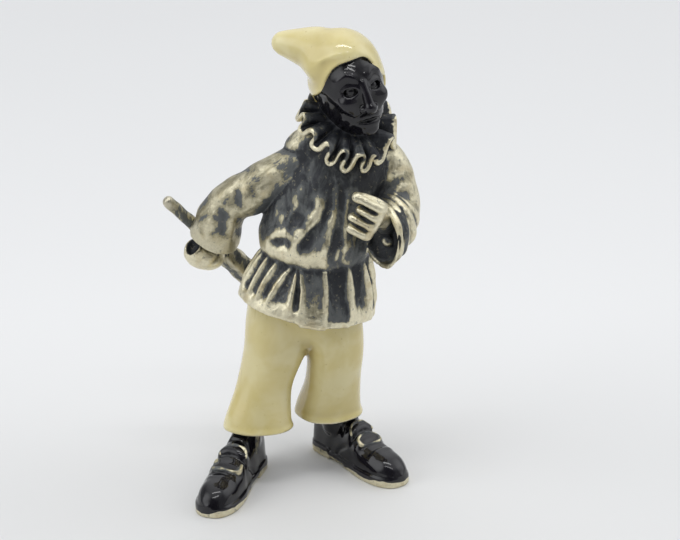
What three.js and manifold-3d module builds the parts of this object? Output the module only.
// A commedia dell'arte figure cast in silver, its cap, mask, trousers and shoes enamelled,
// with a tapered stick held behind its back. Millimetres, +Z up, the figure's front towards -Y.
import * as THREE from "three";
import { mergeVertices } from "three/addons/utils/BufferGeometryUtils.js";
import Module from "manifold-3d";

// Driving dimensions of the casting
const HEIGHT = 70; // floor to the top of the cap
const SHOE_LENGTH = 20.2;
const SHOE_WIDTH = 6.7;
const SOLE_THICKNESS = 1;
const HEEL_HEIGHT = 1.9;
const WELT = 0.3; // how far the sole stands out from the upper
const SLEEVE_WALL = 0.7;
const HEM_LIP = 0.9; // thickness of the tunic's and the trousers' hems
const PLEATS = 18; // around the tunic's skirt
const RUFF_FOLDS = 20;
const RUFF_THICKNESS = 0.7;

// Driving dimensions of the stick
const STICK_LENGTH = 33;
const STICK_TIP_RADIUS = 0.8;
const STICK_END_RADIUS = 1.65;
const CLEARANCE = 0.3; // between the stick and the casting around it

// The pose is written in millimetres for a figure of this height, and grows with HEIGHT.
const POSE_HEIGHT = 69.52;
const SCALE = HEIGHT / POSE_HEIGHT;

const wasm = await Module();
wasm.setup();

const pose = (x, y, z) => new THREE.Vector3(x, y, z).multiplyScalar(SCALE);
const degrees = THREE.MathUtils.degToRad;
const bump = (x, width) => Math.exp(-((x / width) ** 2));
const wrap = (angle) => Math.atan2(Math.sin(angle), Math.cos(angle));

// A key ring of a skin: its centre and its two half axes, one across the figure and one ahead.
const ring = (at, across, ahead) => ({ at: pose(...at), across: pose(...across), ahead: pose(...ahead) });

// Joins rows of points into a closed surface, with a centre point at each end, facing out.
function closedSurface(rows, first, last) {
  const sides = rows[0].length;
  const points = [...rows.flat(), first, last];
  const index = [];
  for (let row = 0; row + 1 < rows.length; row++) {
    for (let side = 0; side < sides; side++) {
      const a = row * sides + side;
      const b = row * sides + ((side + 1) % sides);
      index.push(a, b, b + sides, a, b + sides, a + sides);
    }
  }
  const top = (rows.length - 1) * sides;
  for (let side = 0; side < sides; side++) {
    const next = (side + 1) % sides;
    index.push(rows.length * sides, next, side);
    index.push(rows.length * sides + 1, top + side, top + next);
  }
  if (signedVolume(points, index) < 0) index.reverse();
  return new THREE.BufferGeometry().setFromPoints(points).setIndex(index);
}

function signedVolume(points, index) {
  let sum = 0;
  for (let i = 0; i < index.length; i += 3) {
    const [a, b, c] = [0, 1, 2].map((k) => points[index[i + k]]);
    sum += a.dot(new THREE.Vector3().crossVectors(b, c));
  }
  return sum / 6;
}

// A closed skin through key rings. carve(angle, t) scales the radius, t running from 0 to 1 along the skin.
function skin(rings, { sides, steps, carve = () => 1, first, last }) {
  const along = (key) => new THREE.CatmullRomCurve3(rings.map((r) => r[key]), false, "catmullrom");
  const [centres, acrosses, aheads] = ["at", "across", "ahead"].map(along);
  const count = Math.round((rings.length - 1) * steps) + 1;
  const rows = [];
  for (let row = 0; row < count; row++) {
    const t = row / (count - 1);
    const [at, across, ahead] = [centres, acrosses, aheads].map((curve) => curve.getPoint(t));
    rows.push(
      Array.from({ length: sides }, (_, side) => {
        const angle = (2 * Math.PI * side) / sides;
        const radius = carve(angle, t);
        return at
          .clone()
          .addScaledVector(across, radius * Math.cos(angle))
          .addScaledVector(ahead, radius * Math.sin(angle));
      }),
    );
  }
  return closedSurface(rows, first ?? rings[0].at, last ?? rings.at(-1).at);
}

// Rounded end of a limb: distance past its last point and width, both as shares of its radius.
const ROUND_END = [[0.7, 0.7]];

// A round limb through points, with rounded ends. hinge is square to the plane in which it bends.
function limb(points, radii, hinge, { sides = 10, steps = 2, flat = 1, carve } = {}) {
  const at = points.map((p) => pose(...p));
  const side = new THREE.Vector3(...hinge).normalize();
  const heading = (i) => at[Math.min(i + 1, at.length - 1)].clone().sub(at[Math.max(i - 1, 0)]).normalize();
  const make = (centre, direction, radius) => {
    const ahead = new THREE.Vector3().crossVectors(direction, side).normalize();
    const across = new THREE.Vector3().crossVectors(ahead, direction);
    return { at: centre, across: across.multiplyScalar(radius), ahead: ahead.multiplyScalar(radius * flat) };
  };
  const rings = at.map((p, i) => make(p, heading(i), radii[i] * SCALE));
  const past = (i, way, share) => at[i].clone().addScaledVector(heading(i), way * share * radii[i] * SCALE);
  const end = at.length - 1;
  for (const [reach, width] of ROUND_END) {
    rings.unshift(make(past(0, -1, reach), heading(0), radii[0] * width * SCALE));
    rings.push(make(past(end, 1, reach), heading(end), radii[end] * width * SCALE));
  }
  return skin(rings, { sides, steps, carve, first: past(0, -1, 1), last: past(end, 1, 1) });
}

// An egg: rings at the same share of its height, between its two poles.
function egg(centre, radii, turn, { sides, rows, carve = () => 1 }) {
  const rings = Array.from({ length: rows }, (_, row) => {
    const rise = -Math.PI / 2 + (Math.PI * (row + 0.5)) / rows;
    return Array.from({ length: sides }, (_, side) => {
      const angle = (2 * Math.PI * side) / sides;
      const way = new THREE.Vector3(
        Math.cos(angle) * Math.cos(rise),
        -Math.sin(angle) * Math.cos(rise),
        Math.sin(rise),
      );
      return way.clone().multiply(pose(...radii)).multiplyScalar(carve(way)).applyEuler(turn).add(pose(...centre));
    });
  });
  const pole = (z) => pose(0, 0, z * radii[2]).applyEuler(turn).add(pose(...centre));
  return closedSurface(rings, pole(-1), pole(1));
}

// A geometry as a manifold-3d solid, in the frame that the matrix gives
function solid(geometry, matrix = new THREE.Matrix4()) {
  const bare = new THREE.BufferGeometry().setAttribute("position", geometry.getAttribute("position"));
  bare.setIndex(geometry.index);
  const merged = mergeVertices(bare.applyMatrix4(matrix), 1e-5);
  return new wasm.Manifold(
    new wasm.Mesh({
      numProp: 3,
      vertProperties: new Float32Array(merged.attributes.position.array),
      triVerts: new Uint32Array(merged.index.array),
    }),
  );
}

function geometryOf(manifold) {
  const mesh = manifold.getMesh();
  return new THREE.BufferGeometry()
    .setAttribute("position", new THREE.BufferAttribute(new Float32Array(mesh.vertProperties), 3))
    .setIndex(new THREE.BufferAttribute(new Uint32Array(mesh.triVerts), 1));
}

const joined = (solids) => solids.reduce((whole, next) => whole.add(next));

// The triangles of a geometry in groups that touch each other, the largest group first
function shells(geometry) {
  const index = geometry.index.array;
  const group = Array.from({ length: geometry.getAttribute("position").count }, (_, i) => i);
  const find = (i) => {
    while (group[i] !== i) i = group[i] = group[group[i]];
    return i;
  };
  for (let i = 0; i < index.length; i += 3) {
    group[find(index[i + 1])] = find(index[i]);
    group[find(index[i + 2])] = find(index[i]);
  }
  const found = new Map();
  for (let i = 0; i < index.length; i += 3) {
    const key = find(index[i]);
    if (!found.has(key)) found.set(key, []);
    found.get(key).push(index[i], index[i + 1], index[i + 2]);
  }
  return [...found.values()].sort((a, b) => b.length - a.length);
}

// A casting has no sealed hollows, so only the outer shell of its surface is kept.
function castSolid(manifold) {
  const geometry = geometryOf(manifold);
  return geometry.setIndex(shells(geometry)[0]);
}

// Trousers: two wide legs with flared hems, each hollowed a little under its hem, and the seat that joins them.

// One trouser leg through stations from seat to hem, the last of which is the hem
function trouserLeg(stations, phase) {
  const lip = HEM_LIP / SCALE;
  const hem = stations.at(-1);
  const above = (rise, inward) =>
    ring([hem.at[0], hem.at[1], hem.at[2] + rise], [hem.wide - inward, 0, 0], [0, inward - hem.deep, 0]);
  const rings = [
    ...stations.slice(0, -1).map(({ at, wide, deep }) => ring(at, [wide, 0, 0], [0, -deep, 0])),
    above(1.6, 0.3),
    above(0, 0),
    above(0.1, lip),
    above(1.3, 1.8),
  ];
  const drape = (angle, t) => 1 + 0.022 * Math.sin(3 * angle + phase) + 0.012 * t * Math.cos(7 * angle - phase);
  return solid(skin(rings, { sides: 16, steps: 1.4, carve: drape }));
}

const RIGHT_LEG = [
  { at: [-1.6, 2.8, 31], wide: 5.2, deep: 5 },
  { at: [-2.1, 2.7, 25], wide: 5.5, deep: 5.2 },
  { at: [-3.2, 2.4, 20.3], wide: 4.8, deep: 4.8 },
  { at: [-4.9, 1.4, 15], wide: 4.3, deep: 4.4 },
  { at: [-5.8, 0, 8.8], wide: 5.25, deep: 4.5 },
];
const LEFT_LEG = [
  { at: [3.6, 3.1, 31], wide: 5.4, deep: 5 },
  { at: [4.4, 3.2, 25], wide: 5.5, deep: 5.2 },
  { at: [5.7, 3.5, 20.3], wide: 4.4, deep: 4.8 },
  { at: [5.5, 4.3, 15], wide: 4.3, deep: 4.6 },
  { at: [4.8, 5.3, 8.8], wide: 5.25, deep: 5.2 },
];

function trousers() {
  const seat = skin(
    [
      ring([1.2, 2.9, 21.8], [2, 0, 0], [0, -2.8, 0]),
      ring([1.2, 3, 24.4], [6, 0, 0], [0, -5, 0]),
      ring([1.3, 3.1, 28], [7.4, 0, 0], [0, -5.6, 0]),
      ring([1.6, 3.1, 33.5], [6.6, 0, 0], [0, -5, 0]),
    ],
    { sides: 16, steps: 1 },
  );
  return [trouserLeg(RIGHT_LEG, 0.4), trouserLeg(LEFT_LEG, 2.1), solid(seat)];
}

// Shoes: each is modelled along its own length, heel at the origin, then turned to where its toe points.

// Half width, and height of the upper, at stations from heel to toe, as shares of the shoe's length and width
const SHOE_STATIONS = [
  [0.015, 0.45, 0.3],
  [0.07, 0.66, 0.41],
  [0.2, 0.74, 0.43],
  [0.34, 0.76, 0.42],
  [0.45, 0.8, 0.365],
  [0.55, 0.88, 0.295],
  [0.65, 0.98, 0.24],
  [0.77, 1, 0.228],
  [0.88, 0.9, 0.208],
  [0.96, 0.62, 0.155],
  [0.99, 0.34, 0.11],
];

function soleOutline(from, to) {
  const spline = new THREE.SplineCurve(SHOE_STATIONS.map(([x, wide]) => new THREE.Vector2(x, wide)));
  const edge = spline
    .getPoints(SHOE_STATIONS.length)
    .filter((p) => p.x >= from && p.x <= to)
    .map((p) => new THREE.Vector2(p.x * SHOE_LENGTH, (p.y * SHOE_WIDTH) / 2));
  return new THREE.Shape([...edge, ...edge.map((p) => new THREE.Vector2(p.x, -p.y)).reverse()]);
}

function shoeUpper() {
  const waist = SHOE_WIDTH / 2 - WELT;
  const rings = SHOE_STATIONS.map(([x, wide, tall]) => ({
    at: new THREE.Vector3(x * SHOE_LENGTH, 0, SOLE_THICKNESS * 0.7),
    across: new THREE.Vector3(0, wide * waist, 0),
    ahead: new THREE.Vector3(0, 0, tall * SHOE_LENGTH - SOLE_THICKNESS * 0.7),
  }));
  // Flat below, and above it fuller than an ellipse
  const dome = (angle) => {
    const [c, s] = [Math.cos(angle), Math.sin(angle)];
    if (s < 0) return 1 / Math.max(Math.abs(c), Math.abs(s) * 14);
    return (Math.abs(c) ** 2.4 + s ** 2.4) ** (-1 / 2.4);
  };
  const tip = new THREE.Vector3(SHOE_LENGTH, 0, SOLE_THICKNESS * 1.4);
  const back = new THREE.Vector3(0, 0, SOLE_THICKNESS * 2);
  return solid(skin(rings, { sides: 14, steps: 1, carve: dome, first: back, last: tip }));
}

// The buckle: a rounded frame that lies on the instep, around a raised strap
function shoeBuckle() {
  const instep = { x: 0.53 * SHOE_LENGTH, z: 0.318 * SHOE_LENGTH, slope: degrees(36) };
  const [long, wide, wire] = [0.075 * SHOE_LENGTH, 0.25 * SHOE_WIDTH, 0.055 * SHOE_WIDTH];
  const frame = new THREE.TorusGeometry(1, 1, 5, 12);
  const position = frame.getAttribute("position");
  for (let i = 0; i < position.count; i++) {
    const [x, y, z] = [position.getX(i), position.getY(i), position.getZ(i)];
    const angle = Math.atan2(y, x);
    const out = Math.hypot(x, y) - 1;
    const corner = (Math.abs(Math.cos(angle)) ** 4 + Math.abs(Math.sin(angle)) ** 4) ** (-1 / 4);
    const [px, py] = [Math.cos(angle) * corner, Math.sin(angle) * corner];
    const curl = -0.16 * wide * py * py;
    position.setXYZ(i, px * long + Math.cos(angle) * out * wire, py * wide + Math.sin(angle) * out * wire, z * wire + curl);
  }
  const place = new THREE.Matrix4()
    .makeTranslation(instep.x, 0, instep.z)
    .multiply(new THREE.Matrix4().makeRotationY(instep.slope));
  return solid(frame, place);
}

function shoe(heel, toe, ankle) {
  const flat = (shape, depth) => solid(new THREE.ExtrudeGeometry(shape, { depth, bevelEnabled: false }));
  const arch = SOLE_THICKNESS * 0.55;
  const parts = [
    flat(soleOutline(0, 1), SOLE_THICKNESS).translate(0, 0, arch),
    flat(soleOutline(0, 0.27), HEEL_HEIGHT),
    flat(soleOutline(0.46, 1), SOLE_THICKNESS),
    shoeUpper(),
    shoeBuckle(),
  ];
  const way = new THREE.Vector2(toe[0] - heel[0], toe[1] - heel[1]).angle();
  const place = new THREE.Matrix4().makeRotationZ(way).setPosition(pose(heel[0], heel[1], 0));
  const leg = limb([[ankle[0], ankle[1], 6], [ankle[0], ankle[1], 10.5]], [2.3, 2.3], [1, 0, 0], { sides: 10, steps: 1 });
  return [joined(parts).transform(place.elements), solid(leg)];
}

// Tunic: a blouse that pouches over the waist, its ridges and hollows, and a pleated skirt below.

// Ridges of cloth on the blouse: angles in degrees at a series of heights, how far they stand out, and their width
const BLOUSE_RIDGES = [
  { angles: [104, 100, 118], heights: [48, 43, 39], lift: 0.07, width: 9 },
  { angles: [84, 79, 100], heights: [47, 42, 37], lift: 0.08, width: 9 },
  { angles: [138, 132, 140], heights: [45, 41, 37], lift: 0.06, width: 10 },
  { angles: [60, 62, 66], heights: [44, 40, 36.5], lift: 0.06, width: 8 },
  { angles: [168, 160, 164], heights: [44, 40, 37], lift: 0.05, width: 10 },
];

function ridgeHeight(angle, z) {
  let sum = 0;
  for (const { angles, heights, lift, width } of BLOUSE_RIDGES) {
    const [top, middle, low] = heights;
    const s = THREE.MathUtils.clamp((top - z) / (top - low), -0.5, 1.5);
    const bend = (top - middle) / (top - low);
    const straight = THREE.MathUtils.lerp(angles[0], angles[2], s);
    const sag = (angles[1] - THREE.MathUtils.lerp(angles[0], angles[2], bend)) * bump(s - bend, 0.5);
    const fade = THREE.MathUtils.smoothstep(z, low - 3, low) * (1 - THREE.MathUtils.smoothstep(z, top, top + 4));
    sum += lift * fade * bump(wrap(angle - degrees(straight + sag)), degrees(width));
  }
  return sum;
}

function blouse() {
  const rings = [
    ring([3.1, 3, 34], [6.2, 0, -0.3], [0, -5, 0]),
    ring([3.2, 2.9, 35.6], [7.4, 0, -0.3], [0, -6.1, -0.2]),
    ring([3.4, 2.8, 38], [8.3, 0, -0.2], [0, -6.9, -0.2]),
    ring([4.3, 2.8, 42.5], [7.9, 0, 0], [0, -6.4, 0]),
    ring([5.9, 2.8, 47], [7.8, 0, 0.1], [0, -5.9, 0]),
    ring([7, 2.9, 50.4], [7.7, 0, 0.2], [0, -5, 0]),
    ring([7.6, 2.6, 53.2], [5.2, 0, 0.2], [0, -4.2, 0]),
    ring([7.9, 2.2, 56], [3.2, 0, 0], [0, -3.2, 0]),
    ring([8.1, 1.8, 58.5], [2.8, 0, 0], [0, -2.8, 0]),
  ];
  const heights = new THREE.CatmullRomCurve3(rings.map((r) => r.at), false, "catmullrom");
  const folds = (angle, t) => {
    const z = heights.getPoint(t).z / SCALE;
    const gather = THREE.MathUtils.smoothstep(43 - z, 0, 6) * THREE.MathUtils.smoothstep(z, 33, 36);
    const behind = Math.max(0, -Math.sin(angle));
    return 0.98 + ridgeHeight(angle, z) + gather * (0.02 + 0.03 * behind) * Math.cos(13 * angle + 0.15 * z);
  };
  return solid(skin(rings, { sides: 32, steps: 1.4, carve: folds }));
}

function tunicSkirt() {
  const lip = HEM_LIP / SCALE;
  const [across, ahead] = [10.5, 8];
  const rings = [
    ring([3.1, 3, 37.4], [6, 0, -0.2], [0, -4.6, 0]),
    ring([3, 3, 35.6], [7.9, 0, -0.4], [0, -5.6, 0]),
    ring([2.6, 3, 32.4], [9.2, 0, -0.9], [0, -6.6, -0.1]),
    ring([1.7, 3, 26.8], [across, 0, -1.5], [0, -ahead, -0.4]),
    ring([1.7, 3, 26.8], [across - lip, 0, -1.5], [0, -(ahead - lip), -0.4]),
    ring([1.6, 3, 28.6], [7.4, 0, -1], [0, -5.4, 0]),
  ];
  // Each pleat is a panel that rises to a sharp edge and falls back.
  const pleat = (angle, t) => {
    const turn = (((angle - degrees(79)) * PLEATS) / (2 * Math.PI) + 100) % 1;
    const saw = turn < 0.75 ? turn / 0.75 : (1 - turn) / 0.25;
    const grow = THREE.MathUtils.smoothstep(t, 0.1, 0.5);
    return 1 + grow * 0.09 * (saw - 0.5);
  };
  return solid(skin(rings, { sides: PLEATS * 4, steps: 1, carve: pleat }));
}

// Ruff: a collar whose cloth meanders up and down around the neck, tilted forward.

// Section of the ruff from neck to edge and back: radius, height, and how much the folds move it
const RUFF_SECTION = [
  [1.8, 1.8, 0],
  [4.8, 1.2, 0.4],
  [7.2, 0, 1],
  [7.35, -1, 1],
  [1.8, -1.6, 0],
];

function ruff() {
  const frame = new THREE.Matrix4()
    .makeTranslation(pose(7.85, 1.5, 55.5))
    .multiply(new THREE.Matrix4().makeRotationX(degrees(28)))
    .multiply(new THREE.Matrix4().makeRotationY(degrees(2)));
  const thick = RUFF_THICKNESS / SCALE;
  const sides = RUFF_FOLDS * 4;
  const index = [];
  const points = [];
  for (let side = 0; side < sides; side++) {
    const angle = (2 * Math.PI * side) / sides;
    for (const [radius, height, wave] of RUFF_SECTION) {
      const meander = (0.34 * wave * Math.sin(2 * RUFF_FOLDS * angle)) / radius;
      const z = (height < 0 ? height * thick : height) + 1.25 * wave * Math.cos(RUFF_FOLDS * angle);
      const out = radius + 0.25 * wave * Math.sin(RUFF_FOLDS * angle);
      points.push(pose(out * Math.cos(angle + meander), out * Math.sin(angle + meander), z).applyMatrix4(frame));
    }
  }
  const rows = RUFF_SECTION.length;
  for (let side = 0; side < sides; side++) {
    for (let row = 0; row < rows; row++) {
      const next = ((side + 1) % sides) * rows;
      const [a, b] = [side * rows + row, side * rows + ((row + 1) % rows)];
      const [c, d] = [next + row, next + ((row + 1) % rows)];
      index.push(a, b, d, a, d, c);
    }
  }
  if (signedVolume(points, index) < 0) index.reverse();
  return solid(new THREE.BufferGeometry().setFromPoints(points).setIndex(index));
}

// Head: a masked face turned to the figure's left, and a soft pointed cap.
const HEAD = { centre: [8, 0.7, 61.3], radii: [4.9, 5.6, 6.8], turn: new THREE.Euler(degrees(2), degrees(-12), degrees(24)) };

// Marks of the mask on the head, each by the direction in which it lies: [right, ahead, up], depth and width
const MASK_MARKS = [
  { way: [0.4, 0.9, 0.12], lift: -0.1, width: 0.2 },
  { way: [-0.4, 0.9, 0.12], lift: -0.1, width: 0.2 },
  { way: [0.52, 0.8, -0.25], lift: 0.07, width: 0.3 },
  { way: [-0.52, 0.8, -0.25], lift: 0.07, width: 0.3 },
  { way: [0, 0.95, 0.42], lift: 0.06, width: 0.4 },
  { way: [0, 1, 0.12], lift: 0.1, width: 0.17 },
  { way: [0, 0.8, -0.62], lift: -0.1, width: 0.2 },
  { way: [0, 0.62, -0.88], lift: 0.12, width: 0.3 },
];

function maskedHead() {
  const marks = MASK_MARKS.map(({ way, ...rest }) => ({ ...rest, way: new THREE.Vector3(way[0], -way[1], way[2]).normalize() }));
  const face = (way) => marks.reduce((sum, m) => sum + m.lift * bump(way.distanceTo(m.way), m.width), 1);
  const { centre, radii, turn } = HEAD;
  const onHead = (right, ahead, up) => {
    const p = new THREE.Vector3(right * radii[0], -ahead * radii[1], up * radii[2]).applyEuler(turn);
    return [p.x + centre[0], p.y + centre[1], p.z + centre[2]];
  };
  const nose = egg(onHead(0, 1, -0.1), [1.3, 1.5, 1.3], turn, { sides: 10, rows: 7 });
  return [solid(egg(centre, radii, turn, { sides: 24, rows: 18, carve: face })), solid(nose)];
}

function cap() {
  const rings = [
    ring([8.4, 3.4, 58.6], [4.4, 0, 0], [0, -2.8, 1.6]),
    ring([7.9, 2.6, 60.8], [5.4, 0, 0.2], [0, -4.2, 2.4]),
    ring([7.5, 1.7, 63.2], [5.5, 0, 0.4], [0, -5.4, 2.6]),
    ring([6.4, 1.2, 65.6], [4.6, 0, 1.4], [0, -5.6, 1.2]),
    ring([3.6, 1.5, 66.5], [1.7, 0, 2.9], [0, -4.6, 0]),
    ring([0.8, 2, 66.7], [0.2, 0, 2.5], [0, -2.8, 0]),
    ring([-1.6, 2.3, 66.9], [-0.3, 0, 1.45], [0, -1.5, 0]),
    ring([-2.7, 2.4, 66.9], [-0.2, 0, 0.85], [0, -0.9, 0]),
  ];
  return solid(skin(rings, { sides: 18, steps: 1.5, first: pose(8.5, 3.8, 57.8), last: pose(-3.1, 2.4, 66.95) }));
}

// Arms: the right one bent back to the stick, the left one with a wide bell sleeve and its fist at the chest.

// Right sleeve as a ring at each station: centre, radius and the way to the next one
const RIGHT_SLEEVE = [
  { at: [4.6, 2.8, 50.4], radius: 2.6, way: [-1, 0, -0.4] },
  { at: [1.6, 2.8, 49.4], radius: 3.1, way: [-1, 0, -0.4] },
  { at: [-2.2, 2.9, 47.4], radius: 3.3, way: [-1, 0, -0.55] },
  { at: [-6.2, 3.2, 45.3], radius: 3.5, way: [-1, 0.1, -0.5] },
  { at: [-9.4, 3.6, 43.5], radius: 3.5, way: [-0.75, 0.25, -0.8] },
  { at: [-11.1, 4.4, 40.6], radius: 3.5, way: [-0.3, 0.35, -1] },
  { at: [-11.6, 5.2, 38], radius: 3.7, way: [-0.15, 0.45, -1] },
  { at: [-11.8, 5.8, 36.5], radius: 3.9, way: [-0.1, 0.45, -1] },
];

function sleeveRing({ at, radius, way }, side) {
  const facing = new THREE.Vector3(...way).normalize();
  const across = side.clone().addScaledVector(facing, -side.dot(facing)).normalize();
  const ahead = new THREE.Vector3().crossVectors(facing, across);
  return { at: pose(...at), across: across.multiplyScalar(radius * SCALE), ahead: ahead.multiplyScalar(radius * SCALE) };
}

// A sleeve hollowed at its mouth, SLEEVE_WALL thick at the rim. side is roughly square to its whole length.
function sleeve(stations, side, depth, { sides, steps, carve }) {
  const outer = solid(skin(stations.map((s) => sleeveRing(s, side)), { sides, steps, carve }));
  const wall = SLEEVE_WALL / SCALE;
  const rim = stations.at(-1);
  const moved = (distance, radius) => ({ ...rim, radius, at: rim.at.map((v, i) => v + rim.way[i] * distance) });
  const hollow = [
    moved(-depth, (rim.radius - wall) * 0.55),
    moved(-depth * 0.5, (rim.radius - wall) * 0.9),
    moved(0, rim.radius - wall),
    moved(1, rim.radius - wall),
  ];
  return outer.subtract(solid(skin(hollow.map((s) => sleeveRing(s, side)), { sides, steps: 1 })));
}

const rightSleeve = () => sleeve(RIGHT_SLEEVE, new THREE.Vector3(0, 1, 0), 1.6, { sides: 16, steps: 1.5 });

const LEFT_SLEEVE = [
  { at: [11.6, 3, 52], radius: 2.6, way: [0.35, 0, -1] },
  { at: [13.3, 3.1, 49.6], radius: 3, way: [0.35, 0, -1] },
  { at: [14.5, 3.1, 46.6], radius: 3.1, way: [0.2, -0.2, -1] },
  { at: [14.9, 2.6, 43.6], radius: 3.7, way: [-0.2, -0.6, -0.8] },
  { at: [14.6, 0.6, 41.4], radius: 4.3, way: [-0.6, -0.75, -0.3] },
  { at: [13.8, -2, 40.2], radius: 4.7, way: [-0.8, -0.6, -0.05] },
  { at: [12.8, -4, 39.8], radius: 5.1, way: [-0.85, -0.52, 0] },
];

// The bell sleeve of the left arm has rings of folds around its forearm.
function leftSleeve() {
  const folds = (angle, t) => 1 + 0.045 * THREE.MathUtils.smoothstep(t, 0.45, 0.7) * Math.cos(2 * Math.PI * 5 * t);
  return sleeve(LEFT_SLEEVE, new THREE.Vector3(0.48, -0.87, 0), 2.6, { sides: 16, steps: 2.6, carve: folds });
}

// Four curled fingers, stacked, with the thumb over the first. grip turns and places the fist.
function fist(grip, size) {
  const finger = (row) => {
    const z = (1.5 - row) * 0.44;
    const reach = 1 - 0.08 * Math.abs(row - 1);
    return limb(
      [[0.75, 0.2, z], [0.72, -0.42, z], [0, -0.66 * reach, z - 0.02], [-0.72, -0.45, z - 0.03], [-0.68, 0.1, z]],
      [0.27, 0.3, 0.27, 0.28, 0.22],
      [0, 0, 1],
      { sides: 6, steps: 1 },
    );
  };
  const palm = egg([0.03, -0.08, 0], [0.86, 0.66, 1.08], new THREE.Euler(), { sides: 10, rows: 6 });
  const thumb = limb([[0.66, 0.1, 0.75], [0.2, -0.3, 1], [-0.45, -0.4, 0.94]], [0.34, 0.3, 0.26], [0, 0.5, 1], { sides: 6, steps: 1 });
  const place = new THREE.Matrix4().compose(
    pose(...grip.at),
    new THREE.Quaternion().setFromEuler(grip.turn),
    new THREE.Vector3(size, size, size),
  );
  return [...[0, 1, 2, 3].map(finger), palm, thumb].map((g) => solid(g, place));
}

function hands() {
  const left = { at: [10.4, -8.4, 45], turn: new THREE.Euler(degrees(0), degrees(8), degrees(8)) };
  const right = { at: [-13.6, 6.4, 35], turn: new THREE.Euler(degrees(20), degrees(-52), degrees(10)) };
  const leftWrist = limb([[13.6, -1.5, 41.4], [12.6, -5, 43.4], [11.4, -7.4, 44.6]], [2, 1.9, 1.8], [1, 0, 0], { steps: 1 });
  const rightWrist = limb([[-11.4, 5.2, 38.8], [-12.8, 6, 36.4]], [2, 1.9], [0, 1, 0], { steps: 1 });
  return [...fist(left, 2.9), ...fist(right, 2.6), solid(leftWrist), solid(rightWrist)];
}

// Stick: a straight taper from its thin tip, through the right fist, to its thick end behind the skirt.
const STICK_TIP = [-19.5, 5.5, 43.1];
const STICK_WAY = [0.636, 0.266, -0.723];

function stick(extra = 0) {
  const way = new THREE.Vector3(...STICK_WAY).normalize();
  const middle = STICK_LENGTH / 2;
  const radius = (share) => THREE.MathUtils.lerp(STICK_TIP_RADIUS, STICK_END_RADIUS, share ** 0.7) + extra;
  const profile = [new THREE.Vector2(0, -middle - extra)];
  for (let i = 1; i <= 3; i++) {
    const a = (Math.PI / 2) * (i / 3);
    profile.push(new THREE.Vector2(radius(0) * Math.sin(a), -middle + radius(0) * (1 - Math.cos(a)) - extra));
  }
  for (const share of [0.25, 0.5, 0.75]) {
    profile.push(new THREE.Vector2(radius(share), -middle + STICK_LENGTH * share));
  }
  for (let i = 3; i >= 1; i--) {
    const a = (Math.PI / 2) * (i / 3);
    profile.push(new THREE.Vector2(radius(1) * Math.sin(a), middle - radius(1) * (1 - Math.cos(a)) * 0.8 + extra));
  }
  profile.push(new THREE.Vector2(0, middle + extra));
  const centre = pose(...STICK_TIP).addScaledVector(way, STICK_LENGTH / 2);
  const place = new THREE.Matrix4().compose(
    centre,
    new THREE.Quaternion().setFromUnitVectors(new THREE.Vector3(0, 1, 0), way),
    new THREE.Vector3(1, 1, 1),
  );
  return solid(new THREE.LatheGeometry(profile, 12), place);
}

const casting = joined([
  ...trousers(),
  ...shoe([-6.3, 5.2], [-12.8, -14.1], [-7.8, 1.2]),
  ...shoe([3.2, 11.8], [15.2, -2.6], [6, 7.2]),
  blouse(),
  tunicSkirt(),
  ruff(),
  ...maskedHead(),
  cap(),
  rightSleeve(),
  leftSleeve(),
  ...hands(),
]).subtract(stick(CLEARANCE));

const silver = new THREE.MeshStandardMaterial({ color: 0xcfc9b4, roughness: 0.32, metalness: 1 });
const darkSilver = new THREE.MeshStandardMaterial({ color: 0x8d8b84, roughness: 0.4, metalness: 1 });

function part(name, geometry, material) {
  const mesh = new THREE.Mesh(geometry, material);
  mesh.name = name;
  return mesh;
}

const figure = new THREE.Group();
figure.add(part("figure", castSolid(casting), silver), part("stick", geometryOf(stick()), darkSilver));

// The origin is on the ground, below the middle of the figure and its stick.
const box = new THREE.Box3().setFromObject(figure);
const middle = box.getCenter(new THREE.Vector3());
figure.position.set(-middle.x, -middle.y, -box.min.z);

export default figure;
